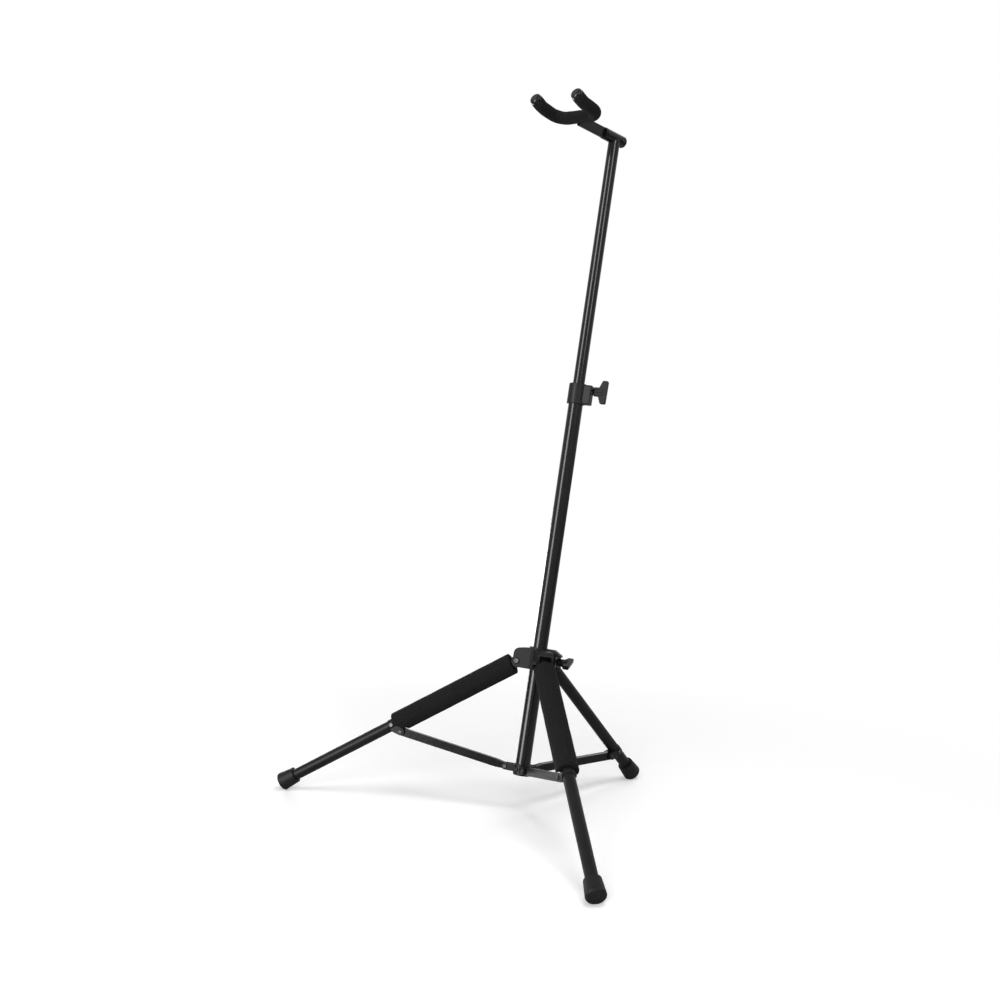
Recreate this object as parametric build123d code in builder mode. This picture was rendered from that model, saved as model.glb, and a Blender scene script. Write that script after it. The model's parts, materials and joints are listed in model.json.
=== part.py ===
"""Folding tripod stand that hangs a guitar by its headstock. Millimetres, +Z up, front is -Y.

The origin is on the floor, under the middle of the stand. The mast leans back, and most pieces
are laid out on planes of the leaning mast: heights run along it from the apex, the point where
the axes of the three legs meet the axis of the mast.
"""

import os
from math import cos, radians, sin, sqrt

from build123d import *

# Overall sizes
APEX_HEIGHT = 281.0
MAST_LEAN = 10.75
LEG_SPREAD = 54.7
FRONT_AZIMUTH = 60.0
HEAD_RISE = 927.3
CLUTCH_RISE = 440.5
HUB_DROP = 210.4

# Tubes
LOWER_DIA = 26.0
LOWER_WALL = 1.5
UPPER_DIA = 21.0
UPPER_WALL = 1.2
LEG_DIA = 20.5
LEG_WALL = 1.2
UPPER_OVERLAP = 90.0

# Clearances, each on one side
RUNNING_GAP = 0.05
SIDE_GAP = 0.3
SOFT_GAP = 0.25

# Leg collar: a sleeve with three forks, one for each leg
PIVOT_DISTANCE = 43.0
COLLAR_TOP = 3.0
COLLAR_DEPTH = 39.0
COLLAR_WALL = 5.5
FORK_WALL = 4.0
FORK_NOSE = 7.5
FORK_SHOULDER = 2.5
FORK_CROWN = 11.0
FORK_ROOF = 9.0
FORK_EDGE = 6.5
BOLT_DIA = 6.0
BOLT_HEAD_DIA = 10.0
BOLT_HEAD_HEIGHT = 3.0
NUT_ACROSS = 10.0
NUT_HEIGHT = 5.0
PLUG_DEPTH = 12.0

# Struts, their pins and the brackets that join them to the legs
STRUT_WIDTH = 11.0
STRUT_HEIGHT = 14.0
STRUT_WALL = 1.5
STRUT_NOSE = 5.0
STRUT_TAPER = 12.0
JOINT_DISTANCE = 294.5
JOINT_BELOW = 18.0
PIN_DIA = 5.0
RIVET_HEAD_DIA = 8.0
RIVET_HEAD_HEIGHT = 2.0
BRACKET_WALL = 1.2
BRACKET_LENGTH = 11.0
BRACKET_LEAD = 4.0
LUG_WALL = 4.0
LUG_NOSE = 6.5

# Base hub
HUB_PIVOT_RADIUS = 30.0
HUB_WALL = 2.4
HUB_ABOVE = 8.0
HUB_BELOW = 8.0
HUB_FLOOR = 3.5
EAR_WALL = 3.5
EAR_NOSE = 6.0
HUB_SCREW_DIA = 4.0
HUB_SCREW_HEAD_DIA = 8.0
HUB_SCREW_HEAD_HEIGHT = 2.6

# Soft sleeves on the front legs, and rubber feet
PAD_DIA = 38.0
PAD_START = 11.8
PAD_END = 3.5
PAD_NOTCH = 17.0
FOOT_LENGTH = 31.5
FOOT_SOLE = 9.0
FOOT_RIM_DIA = 28.5
FOOT_END_DIA = 33.5
FOOT_EDGE = 4.0
FLOOR_FLAT = 0.7

# Height clutch on top of the lower tube
CLUTCH_DIA = 33.0
CLUTCH_HEIGHT = 35.0
CLUTCH_SEAT = 14.0
CLUTCH_EDGE = 1.5
BUSH_FLANGE = 1.0
CLUTCH_AZIMUTH = 115.0
CLUTCH_SCREW_RISE = 25.0
CLUTCH_BOSS_REACH = 27.0
CLUTCH_BOSS_WIDTH = 18.0
CLUTCH_KNOB_TURN = 4.0
CLUTCH_KNOB_NECK = 1.0

# Collar clamp
COLLAR_AZIMUTH = 120.0
COLLAR_SCREW_DROP = 17.0
COLLAR_BOSS_REACH = 32.0
COLLAR_VISOR_REACH = 41.0
COLLAR_BOSS_WIDTH = 17.0
COLLAR_BOSS_SHOULDER = 5.0
COLLAR_BOSS_BOTTOM = 29.0
COLLAR_KNOB_TURN = 72.0
COLLAR_KNOB_NECK = 1.0

# Clamp screws and knobs
SCREW_DIA = 6.0
TIP_LENGTH = 3.0
INSERT_DIA = 9.0
INSERT_LENGTH = 10.0
KNOB_LENGTH = 26.5
KNOB_CONE = 3.0
KNOB_NECK_DIA = 10.0
KNOB_HUB_DIA = 16.0
WING_LENGTH = 42.0
WING_END = 10.0
WING_ROOT = 11.5
WING_THICKNESS = 7.0
WING_EDGE = 1.0
WING_CORNER = 2.5
RIB_WIDTH = 2.2
RIB_PITCH = 4.6
RIB_HEIGHT = 1.4

# Guide bush under the upper tube
GUIDE_FLANGE = 10.0
GUIDE_SPIGOT = 26.0
GUIDE_WALL = 3.0

# Head and yoke
HEAD_DIA = 21.0
HEAD_WALL = 2.0
HEAD_FRONT = 29.0
HEAD_REAR = 20.0
HEAD_PLUG = 4.0
HEAD_PLUG_DEPTH = 8.0
SWIVEL_SCREW_BACK = 14.0
SWIVEL_SCREW_DIA = 5.0
SWIVEL_SCREW_HEAD_DIA = 9.0
SWIVEL_SCREW_HEAD_HEIGHT = 2.6
SWIVEL_REACH = 30.0
SPINDLE_TAIL = 18.0
SHOULDER_LENGTH = 3.0
ARM_WIDTH = 8.0
ARM_HEIGHT = 18.5
YOKE_ROLL = 3.3
YOKE_TILT = 6.4
YOKE_REACH = 98.7
YOKE_RISE = 5.2
YOKE_SPAN = 97.5
YOKE_ROD_DIA = 10.0
YOKE_BEND = 22.5
YOKE_KNEE = 46.0
YOKE_KNEE_BEND = 60.0
YOKE_LIFT = 16.0
YOKE_FOAM_TIP = 17.5
YOKE_FOAM_DIA = 22.5
CAP_LENGTH = 8.0
CAP_DIA = 21.0
CAP_DEPTH = 5.0
CAP_EDGE = 5.0

os.makedirs("parts", exist_ok=True)

mast_up = Vector(0, sin(radians(MAST_LEAN)), cos(radians(MAST_LEAN)))
mast_back = Vector(0, cos(radians(MAST_LEAN)), -sin(radians(MAST_LEAN)))
mast_right = Vector(1, 0, 0)


def outward(azimuth):
    """Direction away from the mast, square to it; azimuth 0 is the front, 90 is +X."""
    return mast_right * sin(radians(azimuth)) - mast_back * cos(radians(azimuth))


def across(azimuth):
    """Direction square to the mast and to the outward direction."""
    return mast_right * cos(radians(azimuth)) + mast_back * sin(radians(azimuth))


def leg_along(azimuth):
    """Direction of a leg from the apex to its foot."""
    return outward(azimuth) * sin(radians(LEG_SPREAD)) - mast_up * cos(radians(LEG_SPREAD))


def leg_length(azimuth):
    """Distance from the apex to the end of the foot, for a foot that stands on the floor."""
    drop = -leg_along(azimuth).Z
    slope = sqrt(1 - drop**2)
    edge_height = APEX_HEIGHT + FLOOR_FLAT - FOOT_EDGE - (FOOT_END_DIA / 2 - FOOT_EDGE) * slope
    return edge_height / drop + FOOT_EDGE


def foot_reach(azimuth):
    """How far back from the apex the foot of a leg reaches, rim included."""
    along = leg_along(azimuth)
    rim = FOOT_END_DIA / 2 * sqrt(1 - along.Y**2)
    return along.Y * leg_length(azimuth) + (rim if along.Y > 0 else -rim)


apex = Vector(0, -(foot_reach(FRONT_AZIMUTH) + foot_reach(180.0)) / 2, APEX_HEIGHT)
mast = Plane(origin=apex, x_dir=mast_right, z_dir=mast_up)
legs = {"left": -FRONT_AZIMUTH, "right": FRONT_AZIMUTH, "rear": 180.0}

pivot_radius = PIVOT_DISTANCE * sin(radians(LEG_SPREAD))
pivot_drop = PIVOT_DISTANCE * cos(radians(LEG_SPREAD))
joint_radius = JOINT_DISTANCE * sin(radians(LEG_SPREAD)) - JOINT_BELOW * cos(radians(LEG_SPREAD))
joint_drop = JOINT_DISTANCE * cos(radians(LEG_SPREAD)) + JOINT_BELOW * sin(radians(LEG_SPREAD))
bracket_start = JOINT_DISTANCE + BRACKET_LEAD
bracket_rivet = bracket_start + BRACKET_LENGTH / 2
bracket_radius = LEG_DIA / 2 + BRACKET_WALL
fork_inside = LEG_DIA / 2 + SIDE_GAP
fork_outside = fork_inside + FORK_WALL
lug_inside = STRUT_WIDTH / 2 + SIDE_GAP
lug_outside = lug_inside + LUG_WALL
ear_outside = lug_inside + EAR_WALL
lower_bore = LOWER_DIA / 2 - LOWER_WALL
leg_bore = LEG_DIA / 2 - LEG_WALL
leg_crown = LEG_DIA / 2 + SIDE_GAP
tube_bottom = -HUB_DROP - HUB_BELOW
tube_top = CLUTCH_RISE + CLUTCH_SEAT
upper_bottom = tube_top - UPPER_OVERLAP
collar_bottom = COLLAR_TOP - COLLAR_DEPTH
collar_radius = LOWER_DIA / 2 + RUNNING_GAP + COLLAR_WALL


def side_plane(azimuth):
    """Side view of one leg: x is the distance from the mast axis, y the height along the mast."""
    return Plane(origin=apex, x_dir=outward(azimuth), z_dir=across(azimuth) * -1)


def leg_plane(azimuth, distance):
    """Plane square to a leg at a distance from the apex: x runs across it, y is above it."""
    along = leg_along(azimuth)
    return Plane(origin=apex + along * distance, x_dir=across(azimuth), z_dir=along)


def leg_side_plane(azimuth):
    """Side view of one leg: x is the distance along it from the apex, y the height above it."""
    return Plane(origin=apex, x_dir=leg_along(azimuth), z_dir=across(azimuth) * -1)


def cross_plane(azimuth, radius, height, offset=0.0):
    """Plane square to the pivot axes of a leg, centred at a radius and a height on the mast."""
    centre = apex + outward(azimuth) * radius + mast_up * height + across(azimuth) * offset
    return Plane(origin=centre, x_dir=outward(azimuth), z_dir=across(azimuth))


def on_leg(azimuth, distance, above, offset=0.0):
    """Plane square to the pivot axes of a leg, centred at a distance along the leg."""
    normal = across(azimuth).cross(leg_along(azimuth)) * -1
    centre = apex + leg_along(azimuth) * distance + normal * above + across(azimuth) * offset
    return Plane(origin=centre, x_dir=leg_along(azimuth), z_dir=across(azimuth))


def clamp_plane(azimuth, height, radius=0.0):
    """Plane square to a clamp screw, at a radius from the mast axis: x points up the mast."""
    out = outward(azimuth)
    return Plane(origin=apex + mast_up * height + out * radius, x_dir=mast_up, z_dir=out)


def save(part, name):
    """Label a finished piece and write it under its name."""
    part.label = name
    export_step(part, f"parts/{name}.step")


# Lower tube of the mast
with BuildPart() as lower_tube:
    with BuildSketch(mast.offset(tube_bottom)):
        Circle(LOWER_DIA / 2)
        Circle(lower_bore, mode=Mode.SUBTRACT)
    extrude(amount=tube_top - tube_bottom)
save(lower_tube.part, "lower_tube")

# Base hub: a cup on the foot of the lower tube, with a pair of ears for each strut
hub_radius = LOWER_DIA / 2 + RUNNING_GAP + HUB_WALL
hub_screw_height = -HUB_DROP - 2.0
with BuildPart() as base_hub:
    with BuildSketch(mast.offset(tube_bottom - HUB_FLOOR)):
        Circle(hub_radius)
    extrude(amount=HUB_FLOOR + HUB_BELOW + HUB_ABOVE)
    chamfer(base_hub.edges().filter_by(GeomType.CIRCLE), 1.2)
    for azimuth in legs.values():
        with BuildSketch(side_plane(azimuth)):
            with Locations((HUB_PIVOT_RADIUS, -HUB_DROP)):
                Circle(EAR_NOSE)
            with Locations((HUB_PIVOT_RADIUS / 2, -HUB_DROP)):
                Rectangle(HUB_PIVOT_RADIUS, 2 * EAR_NOSE)
        extrude(amount=ear_outside, both=True)
    for azimuth in legs.values():
        with BuildSketch(side_plane(azimuth)):
            with Locations((hub_radius + HUB_PIVOT_RADIUS, -HUB_DROP)):
                Rectangle(2 * HUB_PIVOT_RADIUS, 4 * EAR_NOSE)
        extrude(amount=lug_inside, both=True, mode=Mode.SUBTRACT)
        with Locations(cross_plane(azimuth, HUB_PIVOT_RADIUS, -HUB_DROP)):
            Cylinder(PIN_DIA / 2 + RUNNING_GAP, 4 * ear_outside, mode=Mode.SUBTRACT)
    with BuildSketch(mast.offset(tube_bottom)):
        Circle(LOWER_DIA / 2 + RUNNING_GAP)
    extrude(amount=2 * (HUB_BELOW + HUB_ABOVE), mode=Mode.SUBTRACT)
    with Locations(clamp_plane(0, hub_screw_height, hub_radius)):
        Cylinder(HUB_SCREW_DIA / 2 + RUNNING_GAP, 4 * HUB_WALL, mode=Mode.SUBTRACT)
save(base_hub.part, "base_hub")

# Screw that pins the hub to the tube, seen between the front ears
with BuildPart() as hub_screw:
    with BuildSketch(clamp_plane(0, hub_screw_height, LOWER_DIA / 2 + RUNNING_GAP)):
        Circle(HUB_SCREW_DIA / 2)
    extrude(amount=HUB_WALL)
    with BuildSketch(clamp_plane(0, hub_screw_height, hub_radius)):
        Circle(HUB_SCREW_HEAD_DIA / 2)
    extrude(amount=HUB_SCREW_HEAD_HEIGHT)
    fillet(hub_screw.faces().sort_by(Axis(apex, outward(0)))[-1].edges(), 1.2)
save(hub_screw.part, "hub_screw")

# Rivets in the hub's ears, one half on each side of a strut
with BuildPart() as hub_rivets:
    for azimuth in legs.values():
        for side in (-1, 1):
            inner = cross_plane(azimuth, HUB_PIVOT_RADIUS, -HUB_DROP, side * lug_inside)
            with BuildSketch(inner):
                Circle(PIN_DIA / 2)
            extrude(amount=side * EAR_WALL)
            with BuildSketch(inner.offset(side * EAR_WALL)):
                Circle(RIVET_HEAD_DIA / 2)
            extrude(amount=side * RIVET_HEAD_HEIGHT, taper=25)
save(hub_rivets.part, "hub_rivets")


def bolt_pair(height_on_mast):
    """Pivot bolts of the three legs, heads on one side of the forks."""
    with BuildPart() as bolts:
        for azimuth in legs.values():
            head = cross_plane(azimuth, pivot_radius, height_on_mast, fork_outside)
            with BuildSketch(head):
                Circle(BOLT_HEAD_DIA / 2)
            extrude(amount=BOLT_HEAD_HEIGHT, taper=18)
            with BuildSketch(head):
                Circle(BOLT_DIA / 2)
            extrude(amount=-2 * fork_outside - NUT_HEIGHT)
    return bolts.part


def nut_set(height_on_mast):
    """Lock nuts on the other ends of the pivot bolts."""
    with BuildPart() as nuts:
        for azimuth in legs.values():
            face = cross_plane(azimuth, pivot_radius, height_on_mast, -fork_outside)
            with BuildSketch(face):
                RegularPolygon(NUT_ACROSS / 2, 6, major_radius=False)
                Circle(BOLT_DIA / 2 + RUNNING_GAP, mode=Mode.SUBTRACT)
            extrude(amount=-NUT_HEIGHT)
    return nuts.part


save(bolt_pair(-pivot_drop), "leg_bolts")
save(nut_set(-pivot_drop), "leg_nuts")

# Leg collar: slides on the lower tube, with a roofed fork for each leg and a clamp boss
fork_end = pivot_radius + FORK_NOSE
slot = leg_crown + SIDE_GAP
visor_drop = COLLAR_SCREW_DROP - KNOB_HUB_DIA / 2 - 3 * SIDE_GAP
with BuildPart() as leg_collar:
    with BuildSketch(mast.offset(collar_bottom)):
        Circle(collar_radius)
    extrude(amount=COLLAR_DEPTH)
    for azimuth in legs.values():
        with BuildSketch(side_plane(azimuth)) as fork:
            with BuildLine():
                Polyline(
                    (0, collar_bottom),
                    (fork_end, collar_bottom),
                    (fork_end, -FORK_SHOULDER),
                    (0, COLLAR_TOP),
                    close=True,
                )
            make_face()
            fillet(fork.vertices().group_by(Axis.X)[-1].sort_by(Axis.Y)[-1], FORK_CROWN)
            fillet(fork.vertices().group_by(Axis.X)[-1].sort_by(Axis.Y)[0], FORK_EDGE)
        extrude(amount=fork_outside, both=True)
    for azimuth in legs.values():
        with BuildSketch(side_plane(azimuth)):
            with Locations((pivot_radius - slot, -FORK_ROOF)):
                Rectangle(4 * slot, 2 * COLLAR_DEPTH, align=(Align.MIN, Align.MAX))
        extrude(amount=fork_inside, both=True, mode=Mode.SUBTRACT)
        with Locations(cross_plane(azimuth, pivot_radius, -pivot_drop)):
            Cylinder(BOLT_DIA / 2 + RUNNING_GAP, 4 * fork_outside, mode=Mode.SUBTRACT)
    with BuildSketch(side_plane(COLLAR_AZIMUTH)) as boss:
        with BuildLine():
            Polyline(
                (0, -COLLAR_BOSS_BOTTOM),
                (COLLAR_BOSS_REACH, -COLLAR_BOSS_BOTTOM),
                (COLLAR_BOSS_REACH, -visor_drop),
                (COLLAR_VISOR_REACH, -visor_drop),
                (COLLAR_VISOR_REACH, -COLLAR_BOSS_SHOULDER),
                (pivot_radius - FORK_NOSE, COLLAR_TOP),
                (0, COLLAR_TOP),
                close=True,
            )
        make_face()
        fillet(boss.vertices().group_by(Axis.X)[-1].sort_by(Axis.Y)[-1], visor_drop - COLLAR_BOSS_SHOULDER)
    extrude(amount=COLLAR_BOSS_WIDTH / 2, both=True)
    with BuildSketch(mast.offset(collar_bottom)):
        Circle(LOWER_DIA / 2 + RUNNING_GAP)
    extrude(amount=2 * COLLAR_DEPTH, mode=Mode.SUBTRACT)
    with BuildSketch(clamp_plane(COLLAR_AZIMUTH, -COLLAR_SCREW_DROP)):
        Circle(SCREW_DIA / 2 + SIDE_GAP)
    extrude(amount=2 * COLLAR_BOSS_REACH, mode=Mode.SUBTRACT)
    with BuildSketch(clamp_plane(COLLAR_AZIMUTH, -COLLAR_SCREW_DROP, COLLAR_BOSS_REACH)):
        Circle(INSERT_DIA / 2 + RUNNING_GAP)
    extrude(amount=-INSERT_LENGTH, mode=Mode.SUBTRACT)
save(leg_collar.part, "leg_collar")


def threaded_insert(plane):
    """Brass insert let into the outer end of a clamp boss."""
    with BuildPart() as insert:
        with BuildSketch(plane):
            Circle(INSERT_DIA / 2)
            Circle(SCREW_DIA / 2 + RUNNING_GAP, mode=Mode.SUBTRACT)
        extrude(amount=-INSERT_LENGTH)
    return insert.part


def clamp_screw(azimuth, height, tip_radius, knob_start):
    """Stud of a clamp knob, from its tip to the inside of the knob."""
    with BuildPart() as screw:
        start = tip_radius + TIP_LENGTH
        with BuildSketch(clamp_plane(azimuth, height, start)):
            Circle(SCREW_DIA / 2)
        extrude(amount=knob_start + KNOB_LENGTH / 2 - start)
    return screw.part


def screw_tip(azimuth, height, tip_radius):
    """Nylon button on the end of a clamp screw that bears on the tube."""
    with BuildPart() as tip:
        with BuildSketch(clamp_plane(azimuth, height, tip_radius)):
            Circle(SCREW_DIA / 2)
        extrude(amount=TIP_LENGTH)
    return tip.part


def wing_knob(azimuth, height, knob_start, turn):
    """Two-winged knob: a short cone, and a flat fan whose wings are ribbed near the hub."""
    out = outward(azimuth)
    side = mast_up.cross(out)
    wing_way = mast_up * cos(radians(turn)) + side * sin(radians(turn))
    centre = apex + mast_up * height + out * knob_start
    face = Plane(origin=centre, x_dir=wing_way, z_dir=wing_way.cross(out))
    half = WING_LENGTH / 2
    root = KNOB_HUB_DIA / 2
    with BuildPart() as knob:
        with BuildSketch(face) as fan:
            with BuildLine():
                Polyline(
                    (-half, KNOB_LENGTH),
                    (-half, KNOB_LENGTH - WING_END),
                    (-root, WING_ROOT),
                    (-root, KNOB_CONE),
                    (root, KNOB_CONE),
                    (root, WING_ROOT),
                    (half, KNOB_LENGTH - WING_END),
                    (half, KNOB_LENGTH),
                    close=True,
                )
            make_face()
            fillet(fan.vertices().sort_by(Axis.X)[:2] + fan.vertices().sort_by(Axis.X)[-2:], WING_CORNER)
        extrude(amount=WING_THICKNESS / 2, both=True)
        fillet(knob.faces().filter_by(Axis(centre, face.z_dir)).edges(), WING_EDGE)
        for step in (-1, 0, 1):
            with BuildSketch(face):
                with Locations((step * RIB_PITCH, KNOB_CONE)):
                    Rectangle(RIB_WIDTH, KNOB_LENGTH * 0.72 - KNOB_CONE, align=(Align.CENTER, Align.MIN))
            extrude(amount=WING_THICKNESS / 2 + RIB_HEIGHT, both=True)
        with BuildSketch(clamp_plane(azimuth, height, knob_start)):
            Circle(KNOB_NECK_DIA / 2)
        with BuildSketch(clamp_plane(azimuth, height, knob_start + KNOB_CONE)):
            Circle(KNOB_HUB_DIA / 2)
        loft()
        with BuildSketch(clamp_plane(azimuth, height, knob_start)):
            Circle(SCREW_DIA / 2 + RUNNING_GAP)
        extrude(amount=KNOB_LENGTH / 2, mode=Mode.SUBTRACT)
    return knob.part


clutch_screw_height = CLUTCH_RISE + CLUTCH_SCREW_RISE
collar_face = clamp_plane(COLLAR_AZIMUTH, -COLLAR_SCREW_DROP, COLLAR_BOSS_REACH)
clutch_face = clamp_plane(CLUTCH_AZIMUTH, clutch_screw_height, CLUTCH_BOSS_REACH)
collar_tip = LOWER_DIA / 2 + RUNNING_GAP
clutch_tip = UPPER_DIA / 2 + RUNNING_GAP
clutch_knob_start = CLUTCH_BOSS_REACH + CLUTCH_KNOB_NECK
collar_knob_start = COLLAR_BOSS_REACH + COLLAR_KNOB_NECK
save(threaded_insert(collar_face), "collar_insert")
save(threaded_insert(clutch_face), "clutch_insert")
save(clamp_screw(COLLAR_AZIMUTH, -COLLAR_SCREW_DROP, collar_tip, collar_knob_start), "collar_screw")
save(clamp_screw(CLUTCH_AZIMUTH, clutch_screw_height, clutch_tip, clutch_knob_start), "clutch_screw")
save(screw_tip(COLLAR_AZIMUTH, -COLLAR_SCREW_DROP, collar_tip), "collar_screw_tip")
save(screw_tip(CLUTCH_AZIMUTH, clutch_screw_height, clutch_tip), "clutch_screw_tip")
save(wing_knob(COLLAR_AZIMUTH, -COLLAR_SCREW_DROP, collar_knob_start, COLLAR_KNOB_TURN), "collar_knob")
save(wing_knob(CLUTCH_AZIMUTH, clutch_screw_height, clutch_knob_start, CLUTCH_KNOB_TURN), "clutch_knob")

# Clutch body: a sleeve on top of the lower tube, with a square clamp boss
with BuildPart() as clutch_body:
    with BuildSketch(mast.offset(CLUTCH_RISE)):
        Circle(CLUTCH_DIA / 2)
    extrude(amount=CLUTCH_HEIGHT)
    boss_middle = CLUTCH_RISE + CLUTCH_HEIGHT / 2
    with BuildSketch(clamp_plane(CLUTCH_AZIMUTH, boss_middle)):
        RectangleRounded(CLUTCH_HEIGHT, CLUTCH_BOSS_WIDTH, 3)
    extrude(amount=CLUTCH_BOSS_REACH)
    fillet(clutch_body.faces().sort_by(Axis(apex, outward(CLUTCH_AZIMUTH)))[-1].edges(), CLUTCH_EDGE)
    with BuildSketch(mast.offset(CLUTCH_RISE)):
        Circle(LOWER_DIA / 2 + RUNNING_GAP)
    extrude(amount=CLUTCH_HEIGHT, mode=Mode.SUBTRACT)
    with BuildSketch(clamp_plane(CLUTCH_AZIMUTH, clutch_screw_height)):
        Circle(SCREW_DIA / 2 + SIDE_GAP)
    extrude(amount=2 * CLUTCH_BOSS_REACH, mode=Mode.SUBTRACT)
    with BuildSketch(clutch_face):
        Circle(INSERT_DIA / 2 + RUNNING_GAP)
    extrude(amount=-INSERT_LENGTH, mode=Mode.SUBTRACT)
save(clutch_body.part, "clutch_body")

# Clutch bush: lines the clutch above the lower tube and carries the upper tube
with BuildPart() as clutch_bush:
    with BuildSketch(mast.offset(tube_top)):
        Circle(LOWER_DIA / 2)
    extrude(amount=CLUTCH_HEIGHT - CLUTCH_SEAT)
    with BuildSketch(mast.offset(CLUTCH_RISE + CLUTCH_HEIGHT)):
        Circle(CLUTCH_DIA / 2 - CLUTCH_EDGE / 2)
    extrude(amount=BUSH_FLANGE)
    fillet(clutch_bush.faces().sort_by(Axis(apex, mast_up))[-1].edges(), BUSH_FLANGE / 2)
    with BuildSketch(mast.offset(tube_top)):
        Circle(UPPER_DIA / 2 + RUNNING_GAP)
    extrude(amount=2 * CLUTCH_HEIGHT, mode=Mode.SUBTRACT)
    with BuildSketch(clamp_plane(CLUTCH_AZIMUTH, clutch_screw_height)):
        Circle(SCREW_DIA / 2 + SIDE_GAP)
    extrude(amount=CLUTCH_BOSS_REACH, mode=Mode.SUBTRACT)
save(clutch_bush.part, "clutch_bush")

# Upper tube, coped at the top to fit the head tube
head = Plane(origin=apex + mast_up * HEAD_RISE, x_dir=mast_right, z_dir=mast_back)
with BuildPart() as upper_tube:
    with BuildSketch(mast.offset(upper_bottom)):
        Circle(UPPER_DIA / 2)
        Circle(UPPER_DIA / 2 - UPPER_WALL, mode=Mode.SUBTRACT)
    extrude(amount=HEAD_RISE - upper_bottom)
    with BuildSketch(head.offset(-HEAD_DIA)):
        Circle(HEAD_DIA / 2 + RUNNING_GAP)
    extrude(amount=2 * HEAD_DIA, mode=Mode.SUBTRACT)
save(upper_tube.part, "upper_tube")

# Guide bush: keeps the lower end of the upper tube central and slides in the lower tube
spigot_radius = UPPER_DIA / 2 - UPPER_WALL - RUNNING_GAP
with BuildPart() as guide_bush:
    with BuildSketch(mast.offset(upper_bottom - RUNNING_GAP)):
        Circle(lower_bore - RUNNING_GAP)
    extrude(amount=-GUIDE_FLANGE)
    with BuildSketch(mast.offset(upper_bottom - RUNNING_GAP)):
        Circle(spigot_radius)
    extrude(amount=GUIDE_SPIGOT)
    with BuildSketch(mast.offset(upper_bottom - 2 * GUIDE_FLANGE)):
        Circle(spigot_radius - GUIDE_WALL)
    extrude(amount=3 * GUIDE_FLANGE + GUIDE_SPIGOT, mode=Mode.SUBTRACT)
save(guide_bush.part, "guide_bush")

# Head tube across the top of the mast, with a side screw that holds the yoke's spindle
head_bore = HEAD_DIA / 2 - HEAD_WALL
screw_seat = Plane(
    origin=apex + mast_up * HEAD_RISE + mast_back * SWIVEL_SCREW_BACK,
    x_dir=mast_back,
    z_dir=mast_right,
)
with BuildPart() as head_tube:
    with BuildSketch(head.offset(-HEAD_FRONT)):
        Circle(HEAD_DIA / 2)
        Circle(head_bore, mode=Mode.SUBTRACT)
    extrude(amount=HEAD_FRONT + HEAD_REAR)
    with BuildSketch(screw_seat):
        Circle(SWIVEL_SCREW_DIA / 2 + RUNNING_GAP)
    extrude(amount=HEAD_DIA, mode=Mode.SUBTRACT)
    with BuildSketch(screw_seat.offset(HEAD_DIA / 2 - 0.4)):
        Circle(SWIVEL_SCREW_HEAD_DIA / 2 + RUNNING_GAP)
    extrude(amount=HEAD_DIA, mode=Mode.SUBTRACT)
save(head_tube.part, "head_tube")

groove_radius = head_bore - 3.0
with BuildPart() as swivel_screw:
    with BuildSketch(screw_seat.offset(groove_radius + SIDE_GAP)):
        Circle(SWIVEL_SCREW_DIA / 2)
    extrude(amount=HEAD_DIA / 2 - 0.4 - groove_radius - SIDE_GAP)
    with BuildSketch(screw_seat.offset(HEAD_DIA / 2 - 0.4)):
        Circle(SWIVEL_SCREW_HEAD_DIA / 2)
    extrude(amount=SWIVEL_SCREW_HEAD_HEIGHT)
    fillet(swivel_screw.faces().sort_by(Axis.X)[-1].edges(), 1.4)
save(swivel_screw.part, "swivel_screw")

# Plug that closes the rear of the head tube
with BuildPart() as head_plug:
    with BuildSketch(head.offset(HEAD_REAR)):
        Circle(HEAD_DIA / 2)
    extrude(amount=HEAD_PLUG)
    fillet(head_plug.faces().sort_by(Axis(apex, mast_back))[-1].edges(), HEAD_PLUG * 0.8)
    with BuildSketch(head.offset(HEAD_REAR)):
        Circle(head_bore - RUNNING_GAP)
    extrude(amount=-(HEAD_REAR - SPINDLE_TAIL - SIDE_GAP))
save(head_plug.part, "head_plug")

# The yoke and its arm are rolled together about the axis of the head tube
rolled_right = mast_right * cos(radians(YOKE_ROLL)) - mast_up * sin(radians(YOKE_ROLL))
rolled_up = mast_up * cos(radians(YOKE_ROLL)) + mast_right * sin(radians(YOKE_ROLL))
spindle = Plane(origin=head.origin, x_dir=rolled_right, z_dir=mast_back)
yoke_way = mast_back * -cos(radians(YOKE_TILT)) + rolled_up * sin(radians(YOKE_TILT))
yoke_centre = head.origin - mast_back * YOKE_REACH + rolled_up * YOKE_RISE
yoke = Plane(origin=yoke_centre, x_dir=rolled_right, z_dir=rolled_right.cross(yoke_way))
arm_front = YOKE_REACH - YOKE_ROD_DIA / 4


def yoke_path(tip):
    """Corner points of the yoke, from tip to tip: a flat U whose ends lift."""
    half = YOKE_SPAN / 2
    lift = (tip * cos(radians(YOKE_LIFT)), tip * sin(radians(YOKE_LIFT)))
    points = [
        (-half, YOKE_KNEE + lift[0], -lift[1]),
        (-half, YOKE_KNEE, 0),
        (-half, 0, 0),
        (half, 0, 0),
        (half, YOKE_KNEE, 0),
        (half, YOKE_KNEE + lift[0], -lift[1]),
    ]
    return [yoke.from_local_coords(p) for p in points]


def yoke_sweep(tip, radius):
    """Round bar along the yoke, ending at a distance past its knees."""
    with BuildPart() as bar:
        with BuildLine() as path:
            FilletPolyline(
                *yoke_path(tip),
                radius=[YOKE_KNEE_BEND, YOKE_BEND, YOKE_BEND, YOKE_KNEE_BEND],
            )
        with BuildSketch(Plane(origin=path.line @ 0, z_dir=path.line % 0)):
            Circle(radius)
        sweep(path=path.line)
    return bar.part


save(yoke_sweep(YOKE_FOAM_TIP + CAP_DEPTH, YOKE_ROD_DIA / 2), "yoke_rod")

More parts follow.
